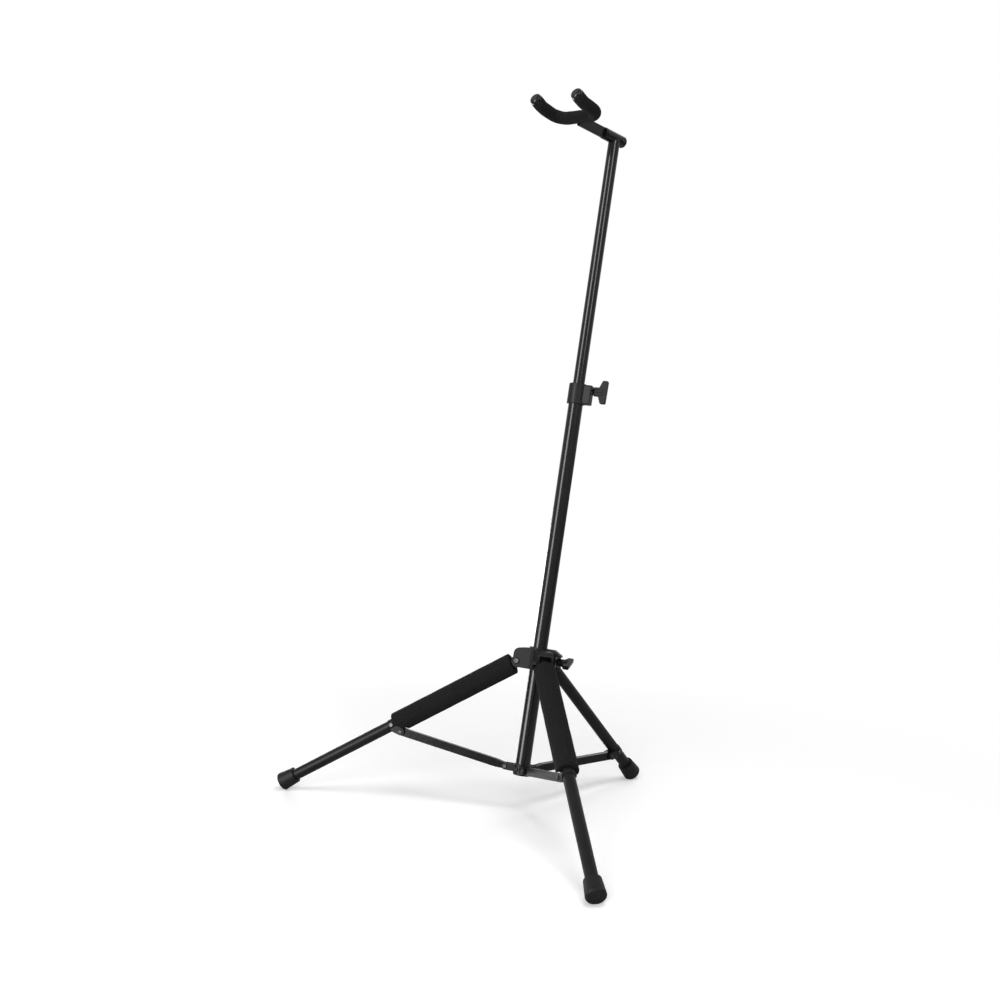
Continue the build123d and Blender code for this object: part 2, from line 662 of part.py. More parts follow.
# Arm: a flat bar from the yoke to a spindle that turns in the head tube
tail_radius = head_bore - RUNNING_GAP
with BuildPart() as yoke_arm:
    with BuildSketch(spindle.offset(-HEAD_FRONT - SIDE_GAP - SHOULDER_LENGTH)):
        RectangleRounded(ARM_WIDTH, ARM_HEIGHT, 1.5)
    extrude(amount=-(arm_front - HEAD_FRONT - SIDE_GAP - SHOULDER_LENGTH))
    with BuildSketch(spindle.offset(-HEAD_FRONT - SIDE_GAP)):
        Circle(HEAD_DIA / 2 - 0.5)
    extrude(amount=-SHOULDER_LENGTH)
    with BuildSketch(spindle.offset(-HEAD_FRONT - SIDE_GAP)):
        Circle(tail_radius)
    extrude(amount=HEAD_FRONT + SIDE_GAP + SPINDLE_TAIL)
    with BuildSketch(Plane(origin=screw_seat.origin, x_dir=rolled_right, z_dir=mast_back)):
        Circle(2 * tail_radius)
        Circle(groove_radius, mode=Mode.SUBTRACT)
        with BuildLine():
            reach = 2 * tail_radius
            swing = radians(SWIVEL_REACH + 30)
            near = (reach * cos(swing), reach * sin(swing))
            Polyline((0, 0), near, (reach, near[1]), (reach, -near[1]), (near[0], -near[1]), close=True)
        make_face(mode=Mode.INTERSECT)
    extrude(amount=SWIVEL_SCREW_DIA / 2 + SIDE_GAP, both=True, mode=Mode.SUBTRACT)
    with BuildSketch(Plane(origin=yoke_centre, z_dir=rolled_right)):
        Circle(YOKE_ROD_DIA / 2 + RUNNING_GAP)
    extrude(amount=ARM_WIDTH, both=True, mode=Mode.SUBTRACT)
save(yoke_arm.part, "yoke_arm")

# Foam tube over the whole rod, slit behind where the arm comes in
with BuildPart() as yoke_foam:
    add(yoke_sweep(YOKE_FOAM_TIP, YOKE_FOAM_DIA / 2))
    add(yoke_sweep(YOKE_FOAM_TIP + CAP_DEPTH, YOKE_ROD_DIA / 2 + SOFT_GAP), mode=Mode.SUBTRACT)
    with BuildSketch(spindle.offset(-arm_front)):
        Rectangle(ARM_WIDTH + 2 * SOFT_GAP, ARM_HEIGHT + 2 * SOFT_GAP)
    extrude(amount=arm_front, mode=Mode.SUBTRACT)
save(yoke_foam.part, "yoke_foam")

# Rounded caps on the two ends of the rod
with BuildPart() as yoke_caps:
    for end in (0, -1):
        knee = yoke_path(0)[end]
        way = (yoke_path(1)[end] - knee).normalized()
        seat = Plane(origin=knee + way * (YOKE_FOAM_TIP + RUNNING_GAP), z_dir=way)
        with BuildSketch(seat):
            Circle(CAP_DIA / 2)
        extrude(amount=CAP_LENGTH)
        fillet(yoke_caps.faces().sort_by_distance(seat.origin + way * CAP_LENGTH)[0].edges(), CAP_EDGE)
        with BuildSketch(seat):
            Circle(YOKE_ROD_DIA / 2 + RUNNING_GAP)
        extrude(amount=CAP_DEPTH, mode=Mode.SUBTRACT)
save(yoke_caps.part, "yoke_caps")


def leg_tube(azimuth):
    """Leg tube, rounded about its pivot and cross-drilled for its bolt and bracket rivet."""
    with BuildPart() as tube:
        start = PIVOT_DISTANCE - LEG_DIA * 0.6
        with BuildSketch(leg_plane(azimuth, start)):
            Circle(LEG_DIA / 2)
            Circle(leg_bore, mode=Mode.SUBTRACT)
        extrude(amount=leg_length(azimuth) - FOOT_SOLE - RUNNING_GAP - start)
        with BuildSketch(leg_side_plane(azimuth)):
            with Locations((PIVOT_DISTANCE - LEG_DIA / 2, 0)):
                Rectangle(LEG_DIA, 2 * LEG_DIA)
            with Locations((PIVOT_DISTANCE, 0)):
                Circle(leg_crown, mode=Mode.SUBTRACT)
        extrude(amount=LEG_DIA, both=True, mode=Mode.SUBTRACT)
        with Locations(on_leg(azimuth, PIVOT_DISTANCE, 0)):
            Cylinder(BOLT_DIA / 2 + RUNNING_GAP, 2 * LEG_DIA, mode=Mode.SUBTRACT)
        with Locations(on_leg(azimuth, bracket_rivet, 0)):
            Cylinder(PIN_DIA / 2 + RUNNING_GAP, 2 * LEG_DIA, mode=Mode.SUBTRACT)
    return tube.part


def leg_plug(azimuth):
    """Nylon plug in the top of a leg that carries its pivot bolt."""
    radius = leg_bore - RUNNING_GAP
    with BuildPart() as plug:
        with BuildSketch(leg_plane(azimuth, PIVOT_DISTANCE - LEG_DIA * 0.6)):
            Circle(radius)
        extrude(amount=LEG_DIA * 0.6 + PLUG_DEPTH)
        with BuildSketch(leg_side_plane(azimuth)):
            with Locations((PIVOT_DISTANCE - LEG_DIA / 2, 0)):
                Rectangle(LEG_DIA, 2 * LEG_DIA)
            with Locations((PIVOT_DISTANCE, 0)):
                Circle(leg_crown, mode=Mode.SUBTRACT)
        extrude(amount=LEG_DIA, both=True, mode=Mode.SUBTRACT)
        with Locations(on_leg(azimuth, PIVOT_DISTANCE, 0)):
            Cylinder(BOLT_DIA / 2 + RUNNING_GAP, 2 * LEG_DIA, mode=Mode.SUBTRACT)
    return plug.part


def leg_bracket(azimuth):
    """Thin clip round a leg, with two lugs below it for the strut's pin."""
    with BuildPart() as bracket:
        with BuildSketch(leg_side_plane(azimuth)):
            with Locations((JOINT_DISTANCE, -JOINT_BELOW)):
                Circle(LUG_NOSE)
            with Locations((bracket_rivet, -LEG_DIA / 4)):
                Rectangle(BRACKET_LENGTH, LEG_DIA / 2)
            make_hull()
        extrude(amount=lug_outside, both=True)
        with BuildSketch(leg_plane(azimuth, bracket_start)):
            Circle(bracket_radius)
        extrude(amount=BRACKET_LENGTH)
        with BuildSketch(leg_plane(azimuth, bracket_start - LEG_DIA * 2)):
            Circle(LEG_DIA / 2 + RUNNING_GAP)
        extrude(amount=4 * LEG_DIA + BRACKET_LENGTH, mode=Mode.SUBTRACT)
        with BuildSketch(leg_side_plane(azimuth)):
            with Locations((bracket_rivet, -JOINT_BELOW)):
                Rectangle(4 * LEG_DIA, 2 * JOINT_BELOW)
        extrude(amount=lug_inside, both=True, mode=Mode.SUBTRACT)
        with Locations(on_leg(azimuth, JOINT_DISTANCE, -JOINT_BELOW)):
            Cylinder(PIN_DIA / 2 + RUNNING_GAP, 4 * lug_outside, mode=Mode.SUBTRACT)
        with Locations(on_leg(azimuth, bracket_rivet, 0)):
            Cylinder(PIN_DIA / 2 + RUNNING_GAP, 4 * lug_outside, mode=Mode.SUBTRACT)
    return bracket.part


def rivet(azimuth, distance, above, half_length):
    """Through rivet with a low domed head on both ends."""
    with BuildPart() as pin:
        with Locations(on_leg(azimuth, distance, above)):
            Cylinder(PIN_DIA / 2, 2 * half_length)
        for side in (-1, 1):
            with BuildSketch(on_leg(azimuth, distance, above, side * half_length)):
                Circle(RIVET_HEAD_DIA / 2)
            extrude(amount=side * RIVET_HEAD_HEIGHT, taper=25)
    return pin.part


def leg_foam(azimuth):
    """Soft sleeve over a front leg, notched underneath for the bracket and the strut."""
    start = PIVOT_DISTANCE + PAD_START
    end = JOINT_DISTANCE + PAD_END
    with BuildPart() as foam:
        with BuildSketch(leg_plane(azimuth, start)):
            Circle(PAD_DIA / 2)
            Circle(LEG_DIA / 2 + SOFT_GAP, mode=Mode.SUBTRACT)
        extrude(amount=end - start)
        with BuildSketch(leg_plane(azimuth, end)):
            with Locations((0, -JOINT_BELOW)):
                notch_width = 2 * (lug_outside + RIVET_HEAD_HEIGHT + SOFT_GAP)
                Rectangle(notch_width, 2 * JOINT_BELOW)
        extrude(amount=-PAD_NOTCH, mode=Mode.SUBTRACT)
    return foam.part


def rubber_foot(azimuth):
    """Flared rubber tip over the end of a leg, flat where it stands on the floor."""
    end = leg_length(azimuth)
    with BuildPart() as foot:
        with BuildSketch(leg_plane(azimuth, end - FOOT_LENGTH)):
            Circle(FOOT_RIM_DIA / 2)
        with BuildSketch(leg_plane(azimuth, end)):
            Circle(FOOT_END_DIA / 2)
        loft()
        fillet(foot.faces().sort_by(Axis(apex, leg_along(azimuth)))[-1].edges(), FOOT_EDGE)
        with BuildSketch(leg_plane(azimuth, end - FOOT_LENGTH)):
            Circle(LEG_DIA / 2 + RUNNING_GAP)
        extrude(amount=FOOT_LENGTH - FOOT_SOLE, mode=Mode.SUBTRACT)
        with Locations((0, 0, -FOOT_END_DIA / 2)):
            Box(4 * APEX_HEIGHT, 4 * APEX_HEIGHT, FOOT_END_DIA, mode=Mode.SUBTRACT)
    return foot.part


def strut(azimuth):
    """Channel-shaped strut from the hub to a leg, open underneath."""
    hub = Vector(HUB_PIVOT_RADIUS, -HUB_DROP)
    joint = Vector(joint_radius, -joint_drop)
    way = (joint - hub).normalized()
    length = (joint - hub).length
    view = side_plane(azimuth)
    bar = Plane(
        origin=view.from_local_coords(hub),
        x_dir=view.x_dir * way.X + view.y_dir * way.Y,
        z_dir=view.z_dir,
    )
    with BuildPart() as channel:
        with BuildSketch(bar):
            Circle(STRUT_NOSE)
            with Locations((STRUT_TAPER + STRUT_HEIGHT / 2, 0)):
                Circle(STRUT_HEIGHT / 2)
            make_hull()
            with Locations((length, 0)):
                Circle(STRUT_HEIGHT / 2)
            with Locations(((STRUT_TAPER + STRUT_HEIGHT / 2 + length) / 2, 0)):
                Rectangle(length - STRUT_TAPER - STRUT_HEIGHT / 2, STRUT_HEIGHT)
        extrude(amount=STRUT_WIDTH / 2, both=True)
        with BuildSketch(bar):
            with Locations((length / 2, -STRUT_WALL)):
                Rectangle(2 * length, STRUT_HEIGHT)
        extrude(amount=STRUT_WIDTH / 2 - STRUT_WALL, both=True, mode=Mode.SUBTRACT)
        for distance in (0, length):
            with BuildSketch(bar):
                with Locations((distance, 0)):
                    Circle(PIN_DIA / 2 + RUNNING_GAP)
            extrude(amount=STRUT_WIDTH, both=True, mode=Mode.SUBTRACT)
    return channel.part


for leg, azimuth in legs.items():
    save(leg_tube(azimuth), f"{leg}_leg_tube")
    save(leg_plug(azimuth), f"{leg}_leg_plug")
    save(leg_bracket(azimuth), f"{leg}_bracket")
    save(rivet(azimuth, bracket_rivet, 0, bracket_radius), f"{leg}_bracket_rivet")
    save(rivet(azimuth, JOINT_DISTANCE, -JOINT_BELOW, lug_outside), f"{leg}_strut_pin")
    save(rubber_foot(azimuth), f"{leg}_foot")
    save(strut(azimuth), f"{leg}_strut")
    if leg != "rear":
        save(leg_foam(azimuth), f"{leg}_leg_foam")
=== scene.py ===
"""Looks of the folding guitar stand: camera, studio, materials and the foam sleeves."""

import json
from math import cos, degrees, pi, radians, sin, tan

import bmesh
import bpy
from mathutils import Matrix, Vector


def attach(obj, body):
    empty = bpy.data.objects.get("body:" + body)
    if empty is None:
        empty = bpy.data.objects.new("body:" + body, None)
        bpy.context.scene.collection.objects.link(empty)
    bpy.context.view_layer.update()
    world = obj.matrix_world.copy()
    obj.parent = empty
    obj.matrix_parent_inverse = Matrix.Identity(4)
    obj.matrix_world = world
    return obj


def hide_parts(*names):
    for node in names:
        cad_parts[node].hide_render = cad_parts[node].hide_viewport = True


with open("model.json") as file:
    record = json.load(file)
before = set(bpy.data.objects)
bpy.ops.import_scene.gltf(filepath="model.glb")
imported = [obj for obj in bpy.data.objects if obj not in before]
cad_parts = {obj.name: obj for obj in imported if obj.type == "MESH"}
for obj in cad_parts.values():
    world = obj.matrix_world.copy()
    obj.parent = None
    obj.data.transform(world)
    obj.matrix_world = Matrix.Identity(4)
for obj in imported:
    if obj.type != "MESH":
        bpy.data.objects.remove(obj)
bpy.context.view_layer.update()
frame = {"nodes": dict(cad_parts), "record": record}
nodes = frame["nodes"]
scene = bpy.context.scene
scene.view_settings.view_transform = "Standard"

# Sizes shared with the CAD model, in metres and radians
APEX = Vector((0, 0.009156, 0.281))
MAST_LEAN = radians(10.75)
LEG_SPREAD = radians(54.7)
FRONT_AZIMUTH = radians(60)
HEAD_RISE = 0.9273

MAST_UP = Vector((0, sin(MAST_LEAN), cos(MAST_LEAN)))
MAST_BACK = Vector((0, cos(MAST_LEAN), -sin(MAST_LEAN)))
MAST_RIGHT = Vector((1, 0, 0))

# Sleeves on the front legs: distances run along the leg from the apex
PAD_RADIUS = 0.019
PAD_BORE = 0.01055
PAD_START = 0.0548
PAD_END = 0.298
PAD_EDGE = 0.0016
PAD_RING = 96
PAD_ROWS = 72
PAD_EDGE_STEPS = 6

# Notch in a sleeve's underside for the strut: two depths, and the angles where they end, in degrees
NOTCH_FLOOR = 0.2812
NOTCH_SHOULDER = 0.2892
NOTCH_ANGLES = (24, 48, 84)

# Yoke
YOKE_ROLL = radians(3.3)
YOKE_TILT = radians(6.4)
YOKE_REACH = 0.0987
YOKE_RISE = 0.0052
YOKE_HALF = 0.04875
YOKE_BEND = 0.0225
YOKE_KNEE = 0.046
YOKE_KNEE_BEND = 0.060
YOKE_LIFT = radians(16)
YOKE_TIP = 0.0175
CROSSBAR_STEPS = 10
BEND_STEPS = 16
ARM_STEPS = 6
KNEE_STEPS = 12

# Foam on the yoke, and the slit in it for the arm
FOAM_RADIUS = 0.01125
FOAM_BORE = 0.0053
FOAM_EDGE = 0.0007
FOAM_RING = 40
FOAM_EDGE_STEPS = 4
FOAM_RIPPLE = 0.00012
FOAM_RIPPLE_RATE = 260
ARM_WIDTH = 0.008
ARM_HEIGHT = 0.0185
SLIT_DEPTH = 0.02
SLIT_LEAD = 0.0025
SLIT_PLAY = 0.0006

# Studio
FLOOR_HALF = 9
FLOOR_GREY = 0.86
FLOOR_LIFT = 0.22
FLOOR_FADE = (0.5, 1.1)
WORLD_FILL = 0.25
LAMP_TARGET = Vector((0, 0, 0.55))

# Values of a noise pattern over which colour and finish change
NOISE_RANGE = (0.3, 0.7)


# Materials
def material(name, base, rough, metal=0.0, spec=0.5):
    m = bpy.data.materials.new(name)
    m.use_nodes = True
    b = m.node_tree.nodes["Principled BSDF"]
    b.inputs["Base Color"].default_value = (*base, 1)
    b.inputs["Roughness"].default_value = rough
    b.inputs["Metallic"].default_value = metal
    b.inputs["Specular IOR Level"].default_value = spec
    return m, m.node_tree, b


def coords(tree):
    return tree.nodes.new("ShaderNodeTexCoord").outputs["Object"]


def noise(tree, scale, detail=3.0):
    n = tree.nodes.new("ShaderNodeTexNoise")
    n.inputs["Scale"].default_value = scale
    n.inputs["Detail"].default_value = detail
    tree.links.new(coords(tree), n.inputs["Vector"])
    return n.outputs["Fac"]


def ramp(tree, source, low, high):
    r = tree.nodes.new("ShaderNodeValToRGB")
    for element, position, colour in zip(r.color_ramp.elements, NOISE_RANGE, (low, high)):
        element.position = position
        element.color = (*colour, 1)
    tree.links.new(source, r.inputs["Fac"])
    return r.outputs["Color"]


def vary(tree, source, low, high, span=NOISE_RANGE):
    r = tree.nodes.new("ShaderNodeMapRange")
    r.inputs["From Min"].default_value = span[0]
    r.inputs["From Max"].default_value = span[1]
    r.inputs["To Min"].default_value = low
    r.inputs["To Max"].default_value = high
    tree.links.new(source, r.inputs["Value"])
    return r.outputs["Result"]


def bump(tree, bsdf, source, height, strength):
    b = tree.nodes.new("ShaderNodeBump")
    b.inputs["Distance"].default_value = height
    b.inputs["Strength"].default_value = strength
    tree.links.new(source, b.inputs["Height"])
    tree.links.new(b.outputs["Normal"], bsdf.inputs["Normal"])


def grey(v):
    return (v, v, v)


def coated(name, low, high, rough, spec, peel):
    """Painted steel: range of greys, range of roughness, specular level, strength of the orange peel."""
    m, t, b = material(name, grey(low), rough[0], spec=spec)
    t.links.new(ramp(t, noise(t, scale=40), grey(low), grey(high)), b.inputs["Base Color"])
    t.links.new(vary(t, noise(t, scale=160), *rough), b.inputs["Roughness"])
    bump(t, b, noise(t, scale=1400, detail=2), height=0.0001, strength=peel)
    return m


def moulded(name, low, high, rough, spec, grain):
    """Plastic or rubber: as painted steel, with a finer grain."""
    m, t, b = material(name, grey(low), rough[0], spec=spec)
    t.links.new(ramp(t, noise(t, scale=120), grey(low), grey(high)), b.inputs["Base Color"])
    t.links.new(vary(t, noise(t, scale=600), *rough), b.inputs["Roughness"])
    bump(t, b, noise(t, scale=3500, detail=2), height=0.0001, strength=grain)
    return m


def metal(name, colour, rough):
    m, t, b = material(name, colour, rough[0], metal=1.0)
    dull = tuple(c * 0.8 for c in colour)
    t.links.new(ramp(t, noise(t, scale=300), dull, colour), b.inputs["Base Color"])
    t.links.new(vary(t, noise(t, scale=900), *rough), b.inputs["Roughness"])
    return m


def foam(name):
    m, t, b = material(name, grey(0.006), 0.95, spec=0.1)
    cells = t.nodes.new("ShaderNodeTexVoronoi")
    cells.inputs["Scale"].default_value = 1300
    t.links.new(coords(t), cells.inputs["Vector"])
    t.links.new(ramp(t, noise(t, scale=300), grey(0.004), grey(0.009)), b.inputs["Base Color"])
    bump(t, b, cells.outputs["Distance"], height=0.0004, strength=0.6)
    return m


LEG_PAINT = coated("leg_paint", 0.005, 0.008, (0.38, 0.46), 0.095, 0.08)
LOOKS = {
    "tube_paint": coated("tube_paint", 0.002, 0.004, (0.17, 0.23), 0.2, 0.05),
    "strut_paint": coated("strut_paint", 0.003, 0.006, (0.18, 0.24), 0.1, 0.06),
    "moulded_black": moulded("moulded_black", 0.007, 0.011, (0.38, 0.46), 0.1, 0.04),
    "knob_black": moulded("knob_black", 0.004, 0.008, (0.26, 0.34), 0.06, 0.03),
    "cap_black": moulded("cap_black", 0.003, 0.006, (0.2, 0.26), 0.2, 0.03),
    "foot_rubber": moulded("foot_rubber", 0.005, 0.009, (0.48, 0.60), 0.11, 0.20),
    "bright_steel": metal("bright_steel", (0.06, 0.06, 0.062), (0.28, 0.38)),
    "black_steel": metal("black_steel", (0.03, 0.03, 0.031), (0.3, 0.4)),
    "plain_steel": metal("plain_steel", (0.5, 0.5, 0.52), (0.32, 0.42)),
    "insert_brass": metal("insert_brass", (0.06, 0.046, 0.026), (0.34, 0.44)),
    "nylon_white": moulded("nylon_white", 0.5, 0.6, (0.45, 0.55), 0.4, 0.1),
    "foam_black": foam("foam_black"),
}
for sub in frame["record"]["subparts"]:
    obj = nodes[sub["node"]]
    obj.data.materials.clear()
    on_leg = sub["material_slot"] == "tube_paint" and "_leg" in sub["node"]
    obj.data.materials.append(LEG_PAINT if on_leg else LOOKS[sub["material_slot"]])


# Foam sleeves
def outward(azimuth):
    return MAST_RIGHT * sin(azimuth) - MAST_BACK * cos(azimuth)


def across(azimuth):
    return MAST_RIGHT * cos(azimuth) + MAST_BACK * sin(azimuth)


def leg_along(azimuth):
    return outward(azimuth) * sin(LEG_SPREAD) - MAST_UP * cos(LEG_SPREAD)


def finish_mesh(name, verts, faces, look, body, replaced):
    mesh = bpy.data.meshes.new(name)
    mesh.from_pydata(verts, [], faces)
    bm = bmesh.new()
    bm.from_mesh(mesh)
    bmesh.ops.recalc_face_normals(bm, faces=bm.faces)
    bm.to_mesh(mesh)
    bm.free()
    for p in mesh.polygons:
        p.use_smooth = True
    obj = bpy.data.objects.new(name, mesh)
    scene.collection.objects.link(obj)
    mesh.materials.append(LOOKS[look])
    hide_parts(replaced)
    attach(obj, body)
    return obj


def smooth(x):
    x = max(0.0, min(1.0, x))
    return x * x * (3 - 2 * x)


def pad_end(angle):
    """Where the sleeve ends at an angle from its underside, in radians: notched for the strut."""
    floor_edge, shoulder_edge, rim = NOTCH_ANGLES
    a = abs(degrees(angle))
    if a < floor_edge:
        return NOTCH_FLOOR
    if a < shoulder_edge:
        f = smooth((a - floor_edge) / (shoulder_edge - floor_edge))
        return NOTCH_FLOOR + (NOTCH_SHOULDER - NOTCH_FLOOR) * f
    if a < rim:
        f = smooth((a - shoulder_edge) / (rim - shoulder_edge))
        return NOTCH_SHOULDER + (PAD_END - NOTCH_SHOULDER) * f
    return PAD_END


def ripple(angle, s):
    """Small unevenness of foam, in metres."""
    coarse = 0.00012 * sin(3 * angle + 41 * s) * sin(67 * s + 2 * angle)
    fine = 0.00008 * sin(2 * angle - 150 * s)
    return coarse + fine


def leg_pad(name, azimuth, body, replaced):
    along = leg_along(azimuth)
    side = across(azimuth)
    above = along.cross(side)
    edge = [radians(90) * k / PAD_EDGE_STEPS for k in range(PAD_EDGE_STEPS + 1)]
    verts = []
    for i in range(PAD_RING):
        angle = 2 * pi * i / PAD_RING
        down = -above * cos(angle) + side * sin(angle)
        end = pad_end(angle if angle < pi else angle - 2 * pi)
        pts = [(PAD_BORE, PAD_START)]
        for a in edge:
            r = PAD_RADIUS - PAD_EDGE * (1 - sin(a))
            pts.append((r, PAD_START + PAD_EDGE * (1 - cos(a))))
        for k in range(1, PAD_ROWS):
            f = k / PAD_ROWS
            s = PAD_START + PAD_EDGE + (end - PAD_START - 2 * PAD_EDGE) * f
            pts.append((PAD_RADIUS + ripple(angle, s), s))
        for a in reversed(edge):
            r = PAD_RADIUS - PAD_EDGE * (1 - sin(a))
            pts.append((r, end - PAD_EDGE * (1 - cos(a))))
        pts.append((PAD_BORE, end))
        pts.append((PAD_BORE, (PAD_START + end) / 2))
        for r, s in pts:
            verts.append(APEX + along * s + down * r)
    n = len(pts)
    faces = []
    for i in range(PAD_RING):
        j = (i + 1) % PAD_RING
        for k in range(n):
            m = (k + 1) % n
            faces.append((i * n + k, j * n + k, j * n + m, i * n + m))
    finish_mesh(name, verts, faces, "foam_black", body, replaced)


leg_pad("left_leg_pad", -FRONT_AZIMUTH, "left_leg", "left_leg_foam")
leg_pad("right_leg_pad", FRONT_AZIMUTH, "right_leg", "right_leg_foam")

ROLLED_RIGHT = MAST_RIGHT * cos(YOKE_ROLL) - MAST_UP * sin(YOKE_ROLL)
ROLLED_UP = MAST_UP * cos(YOKE_ROLL) + MAST_RIGHT * sin(YOKE_ROLL)
HEAD = APEX + MAST_UP * HEAD_RISE
YOKE_WAY = -MAST_BACK * cos(YOKE_TILT) + ROLLED_UP * sin(YOKE_TILT)
YOKE_UP = YOKE_WAY.cross(ROLLED_RIGHT)
YOKE_CENTRE = HEAD - MAST_BACK * YOKE_REACH + ROLLED_UP * YOKE_RISE


def yoke_line():
    """Centre line of the yoke from the left tip to the right."""
    straight = YOKE_HALF - YOKE_BEND
    half = [Vector((straight * i / CROSSBAR_STEPS, 0, 0)) for i in range(CROSSBAR_STEPS + 1)]
    for i in range(1, BEND_STEPS + 1):
        a = radians(90) * i / BEND_STEPS
        half.append(Vector((straight + YOKE_BEND * sin(a), YOKE_BEND * (1 - cos(a)), 0)))
    tangent = YOKE_KNEE_BEND * tan(YOKE_LIFT / 2)
    start = YOKE_KNEE - tangent
    for i in range(1, ARM_STEPS + 1):
        half.append(Vector((YOKE_HALF, YOKE_BEND + (start - YOKE_BEND) * i / ARM_STEPS, 0)))
    for i in range(1, KNEE_STEPS + 1):
        a = YOKE_LIFT * i / KNEE_STEPS
        out = start + YOKE_KNEE_BEND * sin(a)
        half.append(Vector((YOKE_HALF, out, YOKE_KNEE_BEND * (1 - cos(a)))))
    tip_way = Vector((0, cos(YOKE_LIFT), sin(YOKE_LIFT)))
    half.append(half[-1] + tip_way * (YOKE_TIP - tangent))
    left = [Vector((-p.x, p.y, p.z)) for p in reversed(half[1:])]
    return [
        YOKE_CENTRE + ROLLED_RIGHT * p.x + YOKE_WAY * p.y + YOKE_UP * p.z
        for p in left + half
    ]


def yoke_pad():
    line = yoke_line()
    ways = []
    for i in range(len(line)):
        a = line[max(0, i - 1)]
        b = line[min(len(line) - 1, i + 1)]
        ways.append((b - a).normalized())
    edge = [radians(90) * k / FOAM_EDGE_STEPS for k in range(FOAM_EDGE_STEPS + 1)]
    verts = []
    rows = []

    def add_row(centre, way, radius):
        n = (YOKE_UP - way * YOKE_UP.dot(way)).normalized()
        t = way.cross(n)
        rows.append(len(verts))
        for i in range(FOAM_RING):
            a = 2 * pi * i / FOAM_RING
            verts.append(centre + (n * cos(a) + t * sin(a)) * radius)

    length = 0.0
    add_row(line[0], ways[0], FOAM_BORE)
    for a in edge:
        inset = FOAM_EDGE * (1 - cos(a))
        add_row(line[0] + ways[0] * inset, ways[0], FOAM_RADIUS - FOAM_EDGE * (1 - sin(a)))
    for i in range(1, len(line) - 1):
        length += (line[i] - line[i - 1]).length
        if length < FOAM_EDGE * 1.5 or (line[-1] - line[i]).length < FOAM_EDGE * 1.5:
            continue
        wave = FOAM_RIPPLE * sin(length * FOAM_RIPPLE_RATE)
        add_row(line[i], ways[i], FOAM_RADIUS + wave)
    for a in reversed(edge):
        inset = FOAM_EDGE * (1 - cos(a))
        add_row(line[-1] - ways[-1] * inset, ways[-1], FOAM_RADIUS - FOAM_EDGE * (1 - sin(a)))
    add_row(line[-1], ways[-1], FOAM_BORE)
    for i in range(len(line) - 2, 0, -1):
        add_row(line[i], ways[i], FOAM_BORE)
    faces = []
    for r, row in enumerate(rows):
        after = rows[(r + 1) % len(rows)]
        for i in range(FOAM_RING):
            j = (i + 1) % FOAM_RING
            faces.append((row + i, row + j, after + j, after + i))
    cut_slit(finish_mesh("yoke_pad", verts, faces, "foam_black", "yoke", "yoke_foam"))


def cut_slit(obj):
    """Slit behind the crossbar, where the arm comes in."""
    bm = bmesh.new()
    bmesh.ops.create_cube(bm, size=1.0)
    place = Matrix((ROLLED_RIGHT, MAST_BACK, ROLLED_UP)).transposed().to_4x4()
    place.translation = HEAD - MAST_BACK * (YOKE_REACH - SLIT_LEAD - SLIT_DEPTH / 2)
    size = Matrix.Diagonal((ARM_WIDTH + SLIT_PLAY, SLIT_DEPTH, ARM_HEIGHT + SLIT_PLAY, 1))
    bmesh.ops.transform(bm, matrix=place @ size, verts=bm.verts)
    mesh = bpy.data.meshes.new("slit")
    bm.to_mesh(mesh)
    bm.free()
    cutter = bpy.data.objects.new("slit", mesh)
    scene.collection.objects.link(cutter)
    mod = obj.modifiers.new("slit", "BOOLEAN")
    mod.operation = "DIFFERENCE"
    mod.solver = "EXACT"
    mod.object = cutter
    bpy.context.view_layer.update()
    evaluated = obj.evaluated_get(bpy.context.evaluated_depsgraph_get())
    cut = bpy.data.meshes.new_from_object(evaluated)
    obj.modifiers.remove(mod)
    obj.data = cut
    bpy.data.objects.remove(cutter)


yoke_pad()

# Camera, floor and world
cam_data = bpy.data.cameras.new("camera")
cam_data.sensor_width = 36
cam_data.lens = 47.95
camera = bpy.data.objects.new("camera", cam_data)
camera.location = (1.60786, -1.67051, 0.72087)
camera.rotation_euler = (radians(85.66245), radians(-0.81644), radians(45.63404))
scene.collection.objects.link(camera)
scene.camera = camera

floor_mesh = bpy.data.meshes.new("floor")
corners = [(-1, -1), (1, -1), (1, 1), (-1, 1)]
floor_mesh.from_pydata([(x * FLOOR_HALF, y * FLOOR_HALF, 0) for x, y in corners], [], [(0, 1, 2, 3)])
floor = bpy.data.objects.new("floor", floor_mesh)
scene.collection.objects.link(floor)


def floor_look():
    """Pale floor that keeps the shadow near the stand and is plain white to the camera further out."""
    m, t, b = material("floor", grey(FLOOR_GREY), 0.6, spec=0.2)
    seen = t.nodes.new("ShaderNodeLightPath").outputs["Is Camera Ray"]
    b.inputs["Emission Color"].default_value = (1, 1, 1, 1)
    t.links.new(vary(t, seen, 0.0, FLOOR_LIFT, (0.0, 1.0)), b.inputs["Emission Strength"])
    reach = t.nodes.new("ShaderNodeVectorMath")
    reach.operation = "LENGTH"
    t.links.new(coords(t), reach.inputs[0])
    far = vary(t, reach.outputs["Value"], 0.0, 1.0, FLOOR_FADE)
    both = t.nodes.new("ShaderNodeMath")
    both.operation = "MULTIPLY"
    t.links.new(far, both.inputs[0])
    t.links.new(seen, both.inputs[1])
    plain = t.nodes.new("ShaderNodeEmission")
    plain.inputs["Color"].default_value = (1, 1, 1, 1)
    plain.inputs["Strength"].default_value = 1.0
    mix = t.nodes.new("ShaderNodeMixShader")
    t.links.new(both.outputs[0], mix.inputs["Fac"])
    t.links.new(b.outputs[0], mix.inputs[1])
    t.links.new(plain.outputs[0], mix.inputs[2])
    t.links.new(mix.outputs[0], t.nodes["Material Output"].inputs["Surface"])
    return m


floor_mesh.materials.append(floor_look())


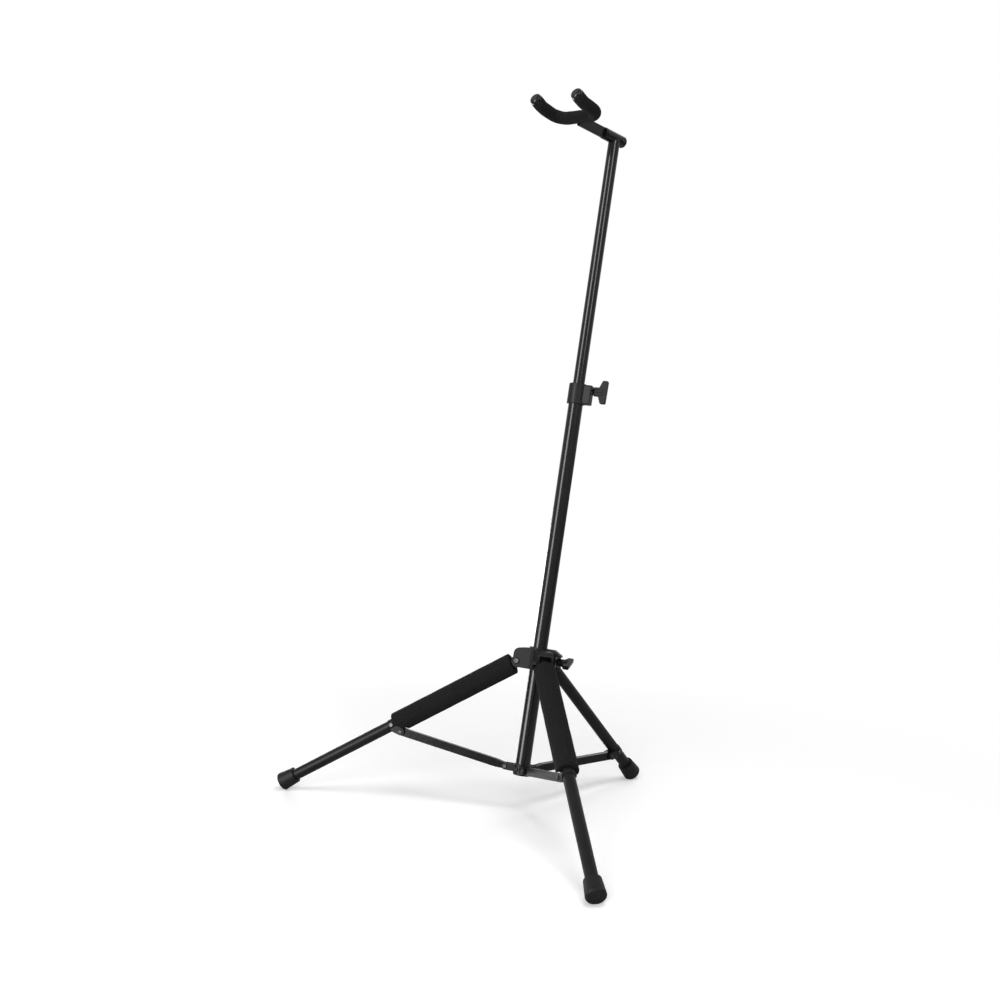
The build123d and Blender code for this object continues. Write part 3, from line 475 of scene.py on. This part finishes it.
def world_look():
    """White to the camera, in reflections and through glass, and a weak fill for the rest."""
    world = bpy.data.worlds.new("world")
    scene.world = world
    world.use_nodes = True
    t = world.node_tree
    fill = t.nodes["Background"]
    white = t.nodes.new("ShaderNodeBackground")
    for background, strength in ((fill, WORLD_FILL), (white, 1.0)):
        background.inputs["Color"].default_value = (1, 1, 1, 1)
        background.inputs["Strength"].default_value = strength
    path = t.nodes.new("ShaderNodeLightPath")
    seen = path.outputs["Is Camera Ray"]
    for ray in ("Is Transmission Ray", "Is Glossy Ray"):
        either = t.nodes.new("ShaderNodeMath")
        either.operation = "MAXIMUM"
        t.links.new(seen, either.inputs[0])
        t.links.new(path.outputs[ray], either.inputs[1])
        seen = either.outputs[0]
    mix = t.nodes.new("ShaderNodeMixShader")
    t.links.new(seen, mix.inputs["Fac"])
    t.links.new(fill.outputs[0], mix.inputs[1])
    t.links.new(white.outputs[0], mix.inputs[2])
    t.links.new(mix.outputs[0], t.nodes["World Output"].inputs["Surface"])


world_look()


# Lamps
def softbox(name, azimuth, distance, height, width, tall, watts):
    """Area light that faces the stand, at an azimuth in degrees from the front towards +X."""
    a = radians(azimuth)
    data = bpy.data.lights.new(name, "AREA")
    data.shape = "RECTANGLE"
    data.size = width
    data.size_y = tall
    data.energy = watts
    lamp = bpy.data.objects.new(name, data)
    lamp.location = (sin(a) * distance, -cos(a) * distance, height)
    aim = LAMP_TARGET - lamp.location
    lamp.rotation_euler = aim.to_track_quat("-Z", "Y").to_euler()
    scene.collection.objects.link(lamp)
    return lamp


# The washes light surfaces and shadows, and the strips show only as streaks on glossy tubes
for wash in (
    softbox("top", 75, 0.8, 2.7, 1.3, 1.3, 33),
    softbox("key", 30, 2.4, 1.0, 1.1, 1.8, 46),
    softbox("back", 196, 2.6, 1.4, 0.8, 2.0, 18),
):
    wash.visible_glossy = False
for strip in (
    softbox("key_strip", -2, 2.4, 1.5, 1.0, 2.1, 112),
    softbox("side_strip", 78, 2.4, 1.95, 0.7, 1.1, 36),
    softbox("low_strip", -104, 2.2, 0.25, 0.9, 0.4, 18),
    softbox("foot_strip", -10, 2.2, 0.3, 1.1, 0.5, 34),
):
    strip.visible_diffuse = False
